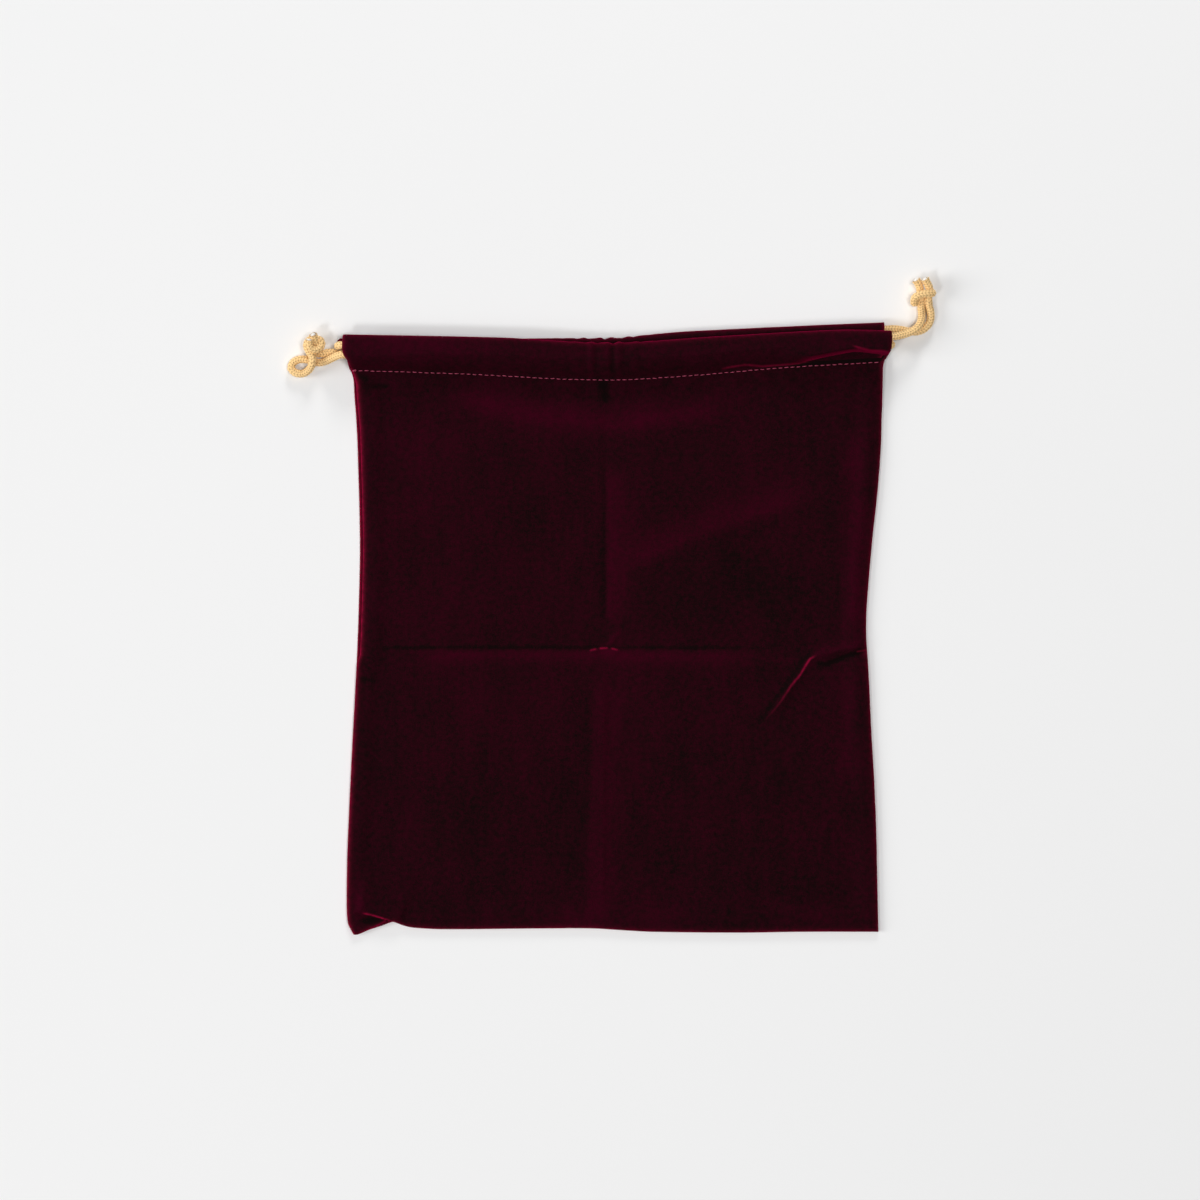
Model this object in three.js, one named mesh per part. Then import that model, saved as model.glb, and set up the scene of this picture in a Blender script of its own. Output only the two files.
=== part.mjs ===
// Kinchaku drawstring pouch, lying flat and empty.
// Two velvet panels, each with its top edge turned over into a channel, and two
// drawcords that run through both channels from opposite sides, each tied off in a knot.
//
// Frame, in millimetres: the origin is under the middle of the pouch on the surface
// that it lies on, +Y runs up the pouch towards its mouth, and +Z is up.
import * as THREE from 'three';

// ---- driving dimensions ----
const CLOTH = 0.7;              // velvet thickness
const GAP = 0.35;               // air left between one layer and the next
const CORD_RADIUS = 2.0;        // braided drawcord, 4 mm across
const CORD_SIDES = 8;
const STEPS_PER_SPAN = 2;       // cord sections between one route point and the next
const STATIONS = 24;            // panel sections across the width
const BODY_ROWS = 12;           // panel rows from the bottom seam to the channel
const HALF_WIDTH = 136.9;       // half the width across the channel mouths
const HALF_LENGTH = 153.2;      // half the length from the bottom seam to the back panel's fold
const HEM_LIP = 2.0;            // hem below the channel stitching
const HEM_INSET = 2.6;          // the turned-over hem is this much narrower at each channel mouth
const EASE = 34.0;              // length over which the front panel comes down off the hems
const CHANNEL_RISE = 6.5;       // length over which a channel opens above its stitching
const FOLD_DEPTH = 2.6;         // from the top fold to where the channel walls run level
const KNOT_DETAIL = 3;

// Heights of the middle of each layer above the surface, from the bottom up.
const LAYER = CLOTH + GAP;
const CORD_LAYER = 2 * (CORD_RADIUS + GAP) + CLOTH;
const BACK_SHEET = CLOTH / 2;
const BACK_HEM = BACK_SHEET + CORD_LAYER;
const FRONT_HEM = BACK_HEM + LAYER;
const FRONT_SHEET = FRONT_HEM + CORD_LAYER;
const BACK_CORD = (BACK_SHEET + BACK_HEM) / 2;
const FRONT_CORD = (FRONT_HEM + FRONT_SHEET) / 2;
const FLOOR_CORD = CORD_RADIUS + 0.2;       // cord lying on the surface

// ---- materials ----
const velvet = new THREE.MeshStandardMaterial({ color: '#2c0713', roughness: 0.95, metalness: 0 });
const goldBraid = new THREE.MeshStandardMaterial({ color: '#dcb673', roughness: 0.75, metalness: 0 });

// ---- outlines ----

// One smooth line through [along, across] points, as a function of the first.
function smoothThrough(points) {
  const last = points.length - 1;
  const slope = (i) => {
    const [before, after] = [points[Math.max(i - 1, 0)], points[Math.min(i + 1, last)]];
    return (after[1] - before[1]) / (after[0] - before[0]);
  };
  return (at) => {
    let i = 0;
    while (i < last - 1 && at > points[i + 1][0]) i += 1;
    const [a, b] = [points[i], points[i + 1]];
    const span = b[0] - a[0];
    const t = THREE.MathUtils.clamp((at - a[0]) / span, 0, 1);
    const rest = 1 - t;
    const ends = a[1] * (1 + 2 * t) * rest * rest + b[1] * (3 - 2 * t) * t * t;
    return ends + span * t * rest * (slope(i) * rest - slope(i + 1) * t);
  };
}

// Seams, folds and stitching that run across the pouch: y at each x.
const bottomSeam = smoothThrough([
  [-137, -HALF_LENGTH], [-126, -151.6], [-111, -147.4], [-88, -149.6], [0, -149.9], [60, -151.2],
  [137, -150.8],
]);
const channelStitching = smoothThrough([
  [-137, 129.3], [-79, 127.4], [-6, 124.3], [38, 126.6], [82, 130.4], [137, 133.6],
]);
const frontFold = smoothThrough([
  [-137, 146.8], [-58, 145.2], [-4, 142.6], [52, 145.9], [110, 149.0], [137, 148.7],
]);
const backFold = smoothThrough([
  [-137, 145.1], [-22, 144.7], [4, 144.8], [42, 148.7], [102, 151.8], [137, HALF_LENGTH],
]);

// Side seams, which flare out at the channel mouths: x at each y.
const leftSeam = smoothThrough([
  [-153, -131.8], [-132, -134.9], [-76, -132.4], [-16, -129.9], [44, -128.0], [94, -129.5],
  [126, -132.2], [131, -132.6], [138, -136.8], [149, -136.4],
]);
const rightSeam = smoothThrough([
  [-153, 130.1], [-86, 128.5], [-26, 125.6], [4, 124.1], [44, 127.0], [84, 131.0], [120, 132.2],
  [132, 132.4], [139, 136.4], [148, HALF_WIDTH], [154, 136.4],
]);

// ---- cloth panels ----

// The middle line of one panel at x: up the sheet, over the top fold and down the hem.
// Each point is [y, z, inset from the side seam].
function panelLine(panel, x) {
  const { fold, sheet, hem, flat, seamSheet, seamHem } = panel;
  const stitching = channelStitching(x);
  const lip = stitching - HEM_LIP - GAP;
  const top = fold(x) - CLOTH / 2;
  const middle = (sheet + hem) / 2;
  const quarter = (hem - sheet) / 2 * Math.SQRT1_2;
  const shoulder = top - FOLD_DEPTH * (1 - Math.SQRT1_2);
  const line = [];
  for (let row = 0; row <= BODY_ROWS; row += 1) {
    const y = THREE.MathUtils.lerp(bottomSeam(x), lip, row / BODY_ROWS);
    const lift = THREE.MathUtils.smoothstep(y, lip - EASE, lip);
    line.push([y, THREE.MathUtils.lerp(flat, seamSheet, lift), 0]);
  }
  line.push([stitching, seamSheet, 0]);
  line.push([stitching + CHANNEL_RISE / 2, (seamSheet + sheet) / 2, 0]);
  line.push([stitching + CHANNEL_RISE, sheet, 0]);
  line.push([top - FOLD_DEPTH, sheet, 0]);
  line.push([shoulder, middle - quarter, 0]);
  line.push([top, middle, HEM_INSET / 2]);
  line.push([shoulder, middle + quarter, HEM_INSET]);
  line.push([top - FOLD_DEPTH, hem, HEM_INSET]);
  line.push([stitching + CHANNEL_RISE, hem, HEM_INSET]);
  line.push([stitching + CHANNEL_RISE / 2, (seamHem + hem) / 2, HEM_INSET]);
  line.push([stitching, seamHem, HEM_INSET]);
  line.push([stitching - HEM_LIP, seamHem, HEM_INSET]);
  return line;
}

// Both faces of the cloth along a middle line, as one closed ring.
function thicken(line) {
  const faces = line.map(([y, z, inset], i) => {
    const before = line[Math.max(i - 1, 0)];
    const after = line[Math.min(i + 1, line.length - 1)];
    const arriving = new THREE.Vector2(y - before[0], z - before[1]).normalize();
    const leaving = new THREE.Vector2(after[0] - y, after[1] - z).normalize();
    const along = arriving.clone().add(leaving).normalize();
    const reach = CLOTH / 2 / Math.max(along.dot(arriving), along.dot(leaving), Math.SQRT1_2);
    const [sideways, upwards] = [-along.y * reach, along.x * reach];
    return [[y + sideways, z + upwards, inset], [y - sideways, z - upwards, inset]];
  });
  return [...faces.map((pair) => pair[0]), ...faces.map((pair) => pair[1]).reverse()];
}

// A closed solid through rings of points. The first and last rings are closed by
// strips between the two faces of the cloth.
function loft(rings) {
  const size = rings[0].length;
  const index = [];
  const quad = (a, b, c, d) => index.push(a, b, c, a, c, d);
  for (let s = 0; s < rings.length - 1; s += 1) {
    for (let i = 0; i < size; i += 1) {
      const [here, next] = [s * size + i, s * size + (i + 1) % size];
      quad(here, here + size, next + size, next);
    }
  }
  const end = (rings.length - 1) * size;
  for (let i = 0; i < size / 2 - 1; i += 1) {
    const [top, under] = [i, size - 1 - i];
    quad(top, top + 1, under - 1, under);
    quad(end + under, end + under - 1, end + top + 1, end + top);
  }
  const geometry = new THREE.BufferGeometry();
  geometry.setAttribute('position', new THREE.Float32BufferAttribute(rings.flat(2), 3));
  geometry.setIndex(index);
  geometry.computeVertexNormals();
  return geometry;
}

function clothPanel(name, panel) {
  const rings = [];
  for (let s = 0; s <= STATIONS; s += 1) {
    const across = s / STATIONS;
    const line = panelLine(panel, THREE.MathUtils.lerp(-HALF_WIDTH, HALF_WIDTH, across));
    rings.push(thicken(line).map(([y, z, inset]) => {
      const x = THREE.MathUtils.lerp(leftSeam(y) + inset, rightSeam(y) - inset, across);
      return [x, y, z];
    }));
  }
  return named(name, loft(rings), velvet);
}

// ---- drawcords ----

// A smooth route with the same number of steps between each two of its points, so
// that the tight turns, where the points lie close, get the short steps.
class Route extends THREE.CatmullRomCurve3 {
  getUtoTmapping(u) {
    return u;
  }
}

function cordTube(name, points) {
  const section = new THREE.Shape();
  for (let side = 0; side < CORD_SIDES; side += 1) {
    const angle = (side + 0.5) / CORD_SIDES * 2 * Math.PI;
    const corner = [CORD_RADIUS * Math.cos(angle), CORD_RADIUS * Math.sin(angle)];
    if (side === 0) section.moveTo(...corner);
    else section.lineTo(...corner);
  }
  const route = new Route(points.map((point) => new THREE.Vector3(...point)), false, 'centripetal');
  const geometry = new THREE.ExtrudeGeometry(section, {
    steps: (points.length - 1) * STEPS_PER_SPAN,
    extrudePath: route,
    bevelEnabled: false,
  });
  return named(name, geometry, goldBraid);
}

// The outer shape of a knot: a rounded lump of the knot's own three sizes.
function knot(name, centre, radii) {
  const mesh = named(name, new THREE.IcosahedronGeometry(1, KNOT_DETAIL).scale(...radii), goldBraid);
  mesh.position.set(...centre);
  return mesh;
}

// Knotted at the left: back channel, round the right-hand mouth, front channel, and a
// loop on the surface that crosses over its own strand into the knot.
const LEFT_DRAWCORD = [
  [-146.9, 137.7, FLOOR_CORD], [-144.4, 138.1, FLOOR_CORD], [-141.6, 138.1, FLOOR_CORD],
  [-139.2, 137.4, FLOOR_CORD], [-136.5, 137.0, 2.9], [-133, 137.0, BACK_CORD],
  [-90, 136.9, BACK_CORD], [-45, 136.7, BACK_CORD], [0, 136.6, BACK_CORD], [42, 140.4, BACK_CORD],
  [82, 142.6, BACK_CORD], [118, 144.0, BACK_CORD],
  [133.6, 143.2, BACK_CORD], [136.1, 142.6, 4.0], [137.0, 141.9, 6.3], [136.1, 141.2, 8.6],
  [133.6, 140.9, FRONT_CORD],
  [110, 140.7, FRONT_CORD], [82, 139.0, FRONT_CORD], [52, 137.7, FRONT_CORD],
  [25, 135.9, FRONT_CORD], [-3, 134.4, FRONT_CORD], [-30, 135.7, FRONT_CORD],
  [-58, 137.0, FRONT_CORD], [-105, 137.6, FRONT_CORD], [-133, 137.2, FRONT_CORD],
  [-137, 136.9, 9.2], [-139.6, 136.2, 7.8], [-142.6, 135.0, 5.6], [-145.8, 133.7, 3.2],
  [-149.6, 133.1, FLOOR_CORD], [-154.2, 134.4, FLOOR_CORD], [-158.8, 134.7, FLOOR_CORD],
  [-162.1, 133.1, FLOOR_CORD], [-163.0, 130.3, FLOOR_CORD], [-160.8, 128.0, FLOOR_CORD],
  [-157.0, 127.7, 2.5], [-153.8, 129.7, 4.4], [-152.1, 132.9, 6.7], [-152.2, 135.9, 6.6],
];

// Knotted at the right: over its own other strand into the front channel, round the
// left-hand mouth, and back through the back channel along the surface to the knot.
const RIGHT_DRAWCORD = [
  [152.3, 160.7, FLOOR_CORD], [152.6, 157.8, 2.5], [152.3, 154.8, 3.8], [151.2, 152.0, 5.6],
  [149.3, 149.8, 6.8], [146.6, 148.1, 7.3], [143.2, 146.9, 8.0], [138.6, 145.8, 9.0],
  [133.5, 145.3, FRONT_CORD], [110, 145.1, FRONT_CORD], [82, 143.4, FRONT_CORD],
  [52, 142.1, FRONT_CORD], [25, 140.3, FRONT_CORD], [-3, 138.8, FRONT_CORD],
  [-30, 140.1, FRONT_CORD], [-58, 141.4, FRONT_CORD], [-105, 142.0, FRONT_CORD],
  [-129, 141.6, FRONT_CORD], [-136.2, 141.5, FRONT_CORD], [-138.5, 141.4, 8.6],
  [-139.4, 141.3, 6.3], [-138.5, 141.4, 4.0],
  [-136.2, 141.5, BACK_CORD], [-129, 141.4, BACK_CORD],
  [-100, 141.2, BACK_CORD], [-45, 141.1, BACK_CORD], [2, 141.1, BACK_CORD],
  [42, 144.9, BACK_CORD], [62, 146.2, BACK_CORD], [102, 148.1, BACK_CORD],
  [133.5, 149.6, BACK_CORD], [138.2, 149.9, 2.9], [142.4, 149.5, FLOOR_CORD],
  [146.2, 148.8, FLOOR_CORD], [149.9, 148.6, FLOOR_CORD], [153.3, 149.7, FLOOR_CORD],
  [155.8, 152.1, FLOOR_CORD], [157.0, 155.4, FLOOR_CORD], [156.9, 158.6, FLOOR_CORD],
  [156.3, 161.0, FLOOR_CORD],
];

// ---- the pouch ----

function named(name, geometry, material) {
  const mesh = new THREE.Mesh(geometry, material);
  mesh.name = name;
  return mesh;
}

const pouch = new THREE.Group();
pouch.add(clothPanel('back_panel', {
  fold: backFold,
  sheet: BACK_SHEET,
  hem: BACK_HEM,
  flat: BACK_SHEET,
  seamSheet: BACK_SHEET,
  seamHem: BACK_SHEET + LAYER,
}));
pouch.add(clothPanel('front_panel', {
  fold: frontFold,
  sheet: FRONT_SHEET,
  hem: FRONT_HEM,
  flat: BACK_SHEET + LAYER,
  seamSheet: BACK_SHEET + 3 * LAYER,
  seamHem: BACK_SHEET + 2 * LAYER,
}));
pouch.add(cordTube('left_drawcord', LEFT_DRAWCORD));
pouch.add(cordTube('right_drawcord', RIGHT_DRAWCORD));
pouch.add(knot('left_knot', [-151.4, 142.6, 5.3], [5.3, 5.4, 4.9]));
pouch.add(knot('right_knot', [153.0, 168.0, 4.6], [5.5, 6.7, 4.4]));

export default pouch;
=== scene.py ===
"""Kinchaku drawstring pouch: two velvet panels with turned-over channels and two braided drawcords."""

import math
import random

import bmesh
import bpy
from mathutils import Matrix, Vector, noise


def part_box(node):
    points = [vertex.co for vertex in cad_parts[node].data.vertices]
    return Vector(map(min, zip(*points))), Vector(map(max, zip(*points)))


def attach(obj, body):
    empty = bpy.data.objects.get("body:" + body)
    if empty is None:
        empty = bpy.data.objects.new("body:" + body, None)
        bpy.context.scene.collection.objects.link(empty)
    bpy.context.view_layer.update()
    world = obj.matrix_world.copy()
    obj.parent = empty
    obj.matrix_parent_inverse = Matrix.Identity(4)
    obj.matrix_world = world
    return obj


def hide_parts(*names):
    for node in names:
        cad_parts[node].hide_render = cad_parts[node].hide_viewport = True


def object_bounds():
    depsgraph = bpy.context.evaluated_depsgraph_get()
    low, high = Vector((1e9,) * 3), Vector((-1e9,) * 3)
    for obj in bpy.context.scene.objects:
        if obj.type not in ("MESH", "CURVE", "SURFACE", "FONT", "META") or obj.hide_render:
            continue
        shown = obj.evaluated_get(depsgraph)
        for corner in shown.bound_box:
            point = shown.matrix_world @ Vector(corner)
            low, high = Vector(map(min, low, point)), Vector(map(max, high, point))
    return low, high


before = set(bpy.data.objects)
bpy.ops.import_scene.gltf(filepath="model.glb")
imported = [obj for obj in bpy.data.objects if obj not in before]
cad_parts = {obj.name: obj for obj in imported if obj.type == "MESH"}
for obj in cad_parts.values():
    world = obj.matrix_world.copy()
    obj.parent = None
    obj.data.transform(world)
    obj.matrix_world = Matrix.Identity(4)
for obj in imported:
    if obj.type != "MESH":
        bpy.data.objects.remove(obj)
cad_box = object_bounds()

# ---- sizes, in metres ----
MM = 0.001
CLOTH = 0.7 * MM                # velvet thickness, pile included
GAP = 0.35 * MM
CORD_RADIUS = 2.0 * MM
LAYER = CLOTH + GAP
CORD_LAYER = 2 * (CORD_RADIUS + GAP) + CLOTH
BACK_SHEET = CLOTH / 2          # heights of the middle of each layer, from the bottom up
BACK_HEM = BACK_SHEET + CORD_LAYER
FRONT_HEM = BACK_HEM + LAYER
FRONT_SHEET = FRONT_HEM + CORD_LAYER
BACK_CORD = (BACK_SHEET + BACK_HEM) / 2
FRONT_CORD = (FRONT_HEM + FRONT_SHEET) / 2
FLOOR_CORD = CORD_RADIUS + 0.2 * MM
HEM_LIP = 2.0 * MM
HEM_INSET = 2.6 * MM
EASE = 34.0 * MM                # length over which the front panel comes down off the hems
CHANNEL_RISE = 6.5 * MM
FOLD_DEPTH = 2.6 * MM
HALF_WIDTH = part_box("front_panel")[1].x
HALF_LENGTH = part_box("back_panel")[1].y
LINE_SHARPNESS = 5.0            # of the fine painted highlight lines along folds, which are about 1 mm wide
STITCH_PITCH = 3.0 * MM
STITCH_LENGTH = 2.2 * MM
STITCH_WIDTH = 0.40 * MM
BRAID_PITCH = 1.4 * MM          # along the cord, from one strand to the next
BRAID_COLUMNS = 8               # columns of strands round the cord, leaning left and right in turn
BRAID_LEAN = 0.6                # how far a strand climbs across its column, in pitches
BRAID_DEPTH = 0.42 * MM
CORD_SIDES = 48
GATHER = 0.35 * MM
PUCKER = 0.22 * MM
SEAM_PUFF = 0.75 * MM           # how much the folded edges inside a seam lift the front panel
SETTLE = 0.5 * MM
WAVE = 0.65 * MM
STITCH_GROOVE = 0.30 * MM
FRONT_STEP_IN = 1.5 * MM        # how far the front panel's left edge stands in from the back's
BACK_LOBE = 3.3 * MM            # the back channel's fold, pushed out at the left mouth
BACK_SWELL = 0.9 * MM           # the same fold lower down, by the stitching
FRAY = 0.35 * MM                # how far the braid opens at a cut end


# ---- small helpers ----

def clamp(value, low=0.0, high=1.0):
    return max(low, min(high, value))


def ease(low, high, value):
    """0 up to low, 1 from high on, smooth between."""
    t = clamp((value - low) / (high - low))
    return t * t * (3 - 2 * t)


def mix(a, b, share):
    return a + (b - a) * share


def hump(distance, width):
    return math.exp(-(distance / width) ** 2)


def smooth_through(points):
    """One smooth line through (along, across) points in millimetres, as a function in metres."""
    points = [(a * MM, b * MM) for a, b in points]
    last = len(points) - 1

    def slope(i):
        before, after = points[max(i - 1, 0)], points[min(i + 1, last)]
        return (after[1] - before[1]) / (after[0] - before[0])

    def line(at):
        i = 0
        while i < last - 1 and at > points[i + 1][0]:
            i += 1
        a, b = points[i], points[i + 1]
        span = b[0] - a[0]
        t = clamp((at - a[0]) / span)
        rest = 1 - t
        ends = a[1] * (1 + 2 * t) * rest * rest + b[1] * (3 - 2 * t) * t * t
        return ends + span * t * rest * (slope(i) * rest - slope(i + 1) * t)

    return line


def smooth_route(points, pace):
    """Points close together on one smooth curve through a route. pace gives the step at a place."""
    points = [Vector(p) for p in points]
    ends = [2 * points[0] - points[1], 2 * points[-1] - points[-2]]
    guide = [ends[0], *points, ends[1]]
    line = []
    for p0, p1, p2, p3 in zip(guide, guide[1:], guide[2:], guide[3:]):
        k0, k1, k2 = ((b - a).length ** 0.5 for a, b in ((p0, p1), (p1, p2), (p2, p3)))
        m1 = p2 - p1 + k1 * ((p1 - p0) / k0 - (p2 - p0) / (k0 + k1))
        m2 = p2 - p1 + k1 * ((p3 - p2) / k2 - (p3 - p1) / (k1 + k2))
        steps = max(2, math.ceil((p2 - p1).length / pace((p1 + p2) / 2)))
        for i in range(steps):
            t = i / steps
            line.append(((2 * t ** 3 - 3 * t ** 2 + 1) * p1 + (t ** 3 - 2 * t ** 2 + t) * m1
                         + (3 * t ** 2 - 2 * t ** 3) * p2 + (t ** 3 - t ** 2) * m2))
    line.append(points[-1])
    return line


def lengths(line):
    """How far along the line each of its points is."""
    far = [0.0]
    for a, b in zip(line, line[1:]):
        far.append(far[-1] + (b - a).length)
    return far


def finished(name, bm, *materials):
    """Turns a bmesh into a smooth-shaded object."""
    mesh = bpy.data.meshes.new(name)
    for face in bm.faces:
        face.smooth = True
    bm.to_mesh(mesh)
    bm.free()
    for material in materials:
        mesh.materials.append(material)
    piece = bpy.data.objects.new(name, mesh)
    bpy.context.scene.collection.objects.link(piece)
    return piece


# ---- shader maths ----

class Value:
    """A node's output. Python's arithmetic on it adds Math nodes."""

    def __init__(self, paint, socket):
        self.paint = paint
        self.socket = socket

    def maths(self, operation, *values):
        return self.paint.node("ShaderNodeMath", {"operation": operation}, dict(enumerate(values)))

    def __add__(self, other):
        return self.maths("ADD", self, other)

    def __sub__(self, other):
        return self.maths("SUBTRACT", self, other)

    def __rsub__(self, other):
        return self.maths("SUBTRACT", other, self)

    def __mul__(self, other):
        return self.maths("MULTIPLY", self, other)

    def __pow__(self, other):
        return self.maths("POWER", self, other)

    def exp(self):
        return self.maths("EXPONENT", self)

    __radd__ = __add__
    __rmul__ = __mul__

    def clamped(self):
        return self.maths("MINIMUM", self.maths("MAXIMUM", self, 0.0), 1.0)


class Paint:
    """A material with one Principled shader, and the nodes that feed it."""

    def __init__(self, name, **constants):
        self.material = bpy.data.materials.new(name)
        self.material.use_nodes = True
        self.tree = self.material.node_tree
        self.shader = self.tree.nodes["Principled BSDF"]
        for socket, value in constants.items():
            label = socket.replace("_", " ").title().replace("Ior", "IOR")
            self.shader.inputs[label].default_value = value

    def node(self, kind, settings=None, inputs=None, output=0):
        made = self.tree.nodes.new(kind)
        for setting, value in (settings or {}).items():
            setattr(made, setting, value)
        for socket, value in (inputs or {}).items():
            self.link(value, made.inputs[socket])
        return Value(self, made.outputs[output])

    def link(self, value, socket):
        if isinstance(value, Value):
            self.tree.links.new(value.socket, socket)
        else:
            socket.default_value = value

    def feed(self, socket, value):
        self.link(value, self.shader.inputs[socket])

    def place(self):
        return self.node("ShaderNodeTexCoord", output="Object")

    def uv(self):
        return self.node("ShaderNodeTexCoord", output="UV")

    def stretched(self, vector, scale):
        return self.node("ShaderNodeVectorMath", {"operation": "MULTIPLY"}, {0: vector, 1: scale})

    def noise(self, vector, scale, detail=2.0, roughness=0.5):
        inputs = {"Vector": vector, "Scale": scale, "Detail": detail, "Roughness": roughness}
        return self.node("ShaderNodeTexNoise", None, inputs)

    def attribute(self, name):
        return self.node("ShaderNodeAttribute", {"attribute_name": name}, output="Fac")

    def blend(self, share, first, second, how="MIX"):
        settings = {"data_type": "RGBA", "blend_type": how, "clamp_factor": True}
        return self.node("ShaderNodeMix", settings, {0: share, 6: first, 7: second}, output=2)

    def bump(self, height, strength, distance, under=None):
        inputs = {"Height": height, "Strength": strength, "Distance": distance}
        if under is not None:
            inputs["Normal"] = under
        return self.node("ShaderNodeBump", None, inputs)


def velvet_paint():
    """Dense dark burgundy pile, with crimson sheen painted into its colour where the surface turns away
    from the eye and along its rims and crests.
    """
    paint = Paint("velvet", roughness=0.95, specular_ior_level=0.0, sheen_weight=0.4,
                  sheen_roughness=0.25, sheen_tint=(0.75, 0.0, 0.10, 1.0))
    place = paint.place()
    mottle = paint.noise(place, 26.0, 3.0)
    streaks = paint.noise(paint.stretched(place, (130.0, 40.0, 130.0)), 1.0, 3.0)
    clumps = paint.noise(place, 420.0, 2.0, 0.6)
    grain = paint.noise(place, 2300.0, 2.0, 0.6)
    # The per-vertex nap value holds lighter and darker brushed pile, and also painted light and shade on
    # the sides and in the hollows of creases, folds and gathers.
    nap_and_painted_light = paint.attribute("nap_and_painted_light")
    # Painted highlight: fine bright lines along the crests of folds and wrinkles.
    off = paint.attribute("line_off")
    line = paint.attribute("line") * (off * off * -LINE_SHARPNESS).exp()
    lit = (nap_and_painted_light + (mottle - 0.5) * 0.4 + (streaks - 0.5) * 0.4 + (clumps - 0.5) * 0.9
           + (grain - 0.5) * 1.3 + line * 1.6).clamped()
    pile = paint.blend(lit, (0.0058, 0.0029, 0.0030, 1.0), (0.0380, 0.0014, 0.0078, 1.0))
    # Painted sheen: the colour turns crimson where the surface faces away from the eye, scaled by a
    # per-vertex mask from the panels.
    facing = paint.node("ShaderNodeLayerWeight", None, {"Blend": 0.35}, output="Facing")
    painted_sheen = ((facing ** 2.2) * paint.attribute("painted_sheen")).clamped()
    turned = paint.blend(painted_sheen, pile, (0.20, 0.0, 0.030, 1.0))
    # Painted highlight: crimson sheen painted along the edges and top folds of the panels and along the
    # crest lines.
    painted_rim_sheen = ((paint.attribute("painted_rim_sheen") + line) * (0.75 + (clumps - 0.5) * 1.2)).clamped()
    paint.feed("Base Color", paint.blend(painted_rim_sheen, turned, (0.33, 0.006, 0.040, 1.0)))
    weave = paint.noise(paint.stretched(place, (1500.0, 1100.0, 1500.0)), 1.0, 1.0)
    paint.feed("Normal", paint.bump(grain * 0.6 + weave * 0.4, 0.5, 0.25 * MM))
    return paint.material


def braid_paint():
    """Soft gold braid, with painted shade: light gold on the strands, dark brown in the grooves where
    shade falls.
    """
    paint = Paint("gold_braid", roughness=0.62, specular_ior_level=0.35, sheen_weight=0.35,
                  sheen_roughness=0.45, sheen_tint=(1.0, 0.80, 0.50, 1.0))
    place = paint.place()
    raised = paint.attribute("raised")
    fibre = paint.noise(paint.stretched(paint.uv(), (5200.0, 60.0, 1.0)), 1.0, 2.0)
    patch = paint.noise(place, 160.0, 2.0)
    # Painted shade: the grooves between strands are coloured dark, the strand tops light.
    lit = (raised * 1.45 + (fibre - 0.5) * 0.5 + (patch - 0.5) * 0.35 - 0.04).clamped()
    paint.feed("Base Color", paint.blend(lit, (0.22, 0.066, 0.009, 1.0), (1.0, 0.685, 0.315, 1.0)))
    paint.feed("Normal", paint.bump(fibre, 0.5, 0.12 * MM))
    return paint.material


def core_paint():
    """Undyed white filler yarn, seen at the cut ends."""
    paint = Paint("cord_core", roughness=0.8, sheen_weight=0.2)
    fluff = paint.noise(paint.place(), 1800.0, 2.0)
    paint.feed("Base Color", paint.blend(fluff, (0.80, 0.77, 0.70, 1.0), (0.95, 0.94, 0.92, 1.0)))
    paint.feed("Normal", paint.bump(fluff, 0.6, 0.15 * MM))
    return paint.material


def thread_paint():
    """Rose sewing thread with a fine twist."""
    paint = Paint("rose_thread", roughness=0.6, specular_ior_level=0.2)
    twist = paint.noise(paint.stretched(paint.place(), (3800.0, 1200.0, 1200.0)), 1.0, 1.0)
    paint.feed("Base Color", paint.blend(twist, (0.22, 0.018, 0.050, 1.0), (0.58, 0.11, 0.19, 1.0)))
    paint.feed("Normal", paint.bump(twist, 0.5, 0.08 * MM))
    return paint.material


VELVET = velvet_paint()
BRAID = braid_paint()
CORE = core_paint()
THREAD = thread_paint()


# ---- camera ----

def make_camera():
    """Looks straight down on the pouch, a little to the left of its middle."""
    lens = 120.0                # millimetres
    field = 0.600               # width of the view at the pouch, in metres
    data = bpy.data.cameras.new("camera")
    data.lens = lens
    data.sensor_width = 36.0
    camera = bpy.data.objects.new("camera", data)
    camera.location = (-0.0085, 0.0143, field * lens / data.sensor_width + cad_box[1].z / 3)
    bpy.context.scene.collection.objects.link(camera)
    bpy.context.scene.camera = camera


make_camera()


# ---- drawcords ----
# Each route starts at one cut end, goes through its knot and one channel, turns round the
# far mouth, comes back through the other channel and ends in the knot again.

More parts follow.
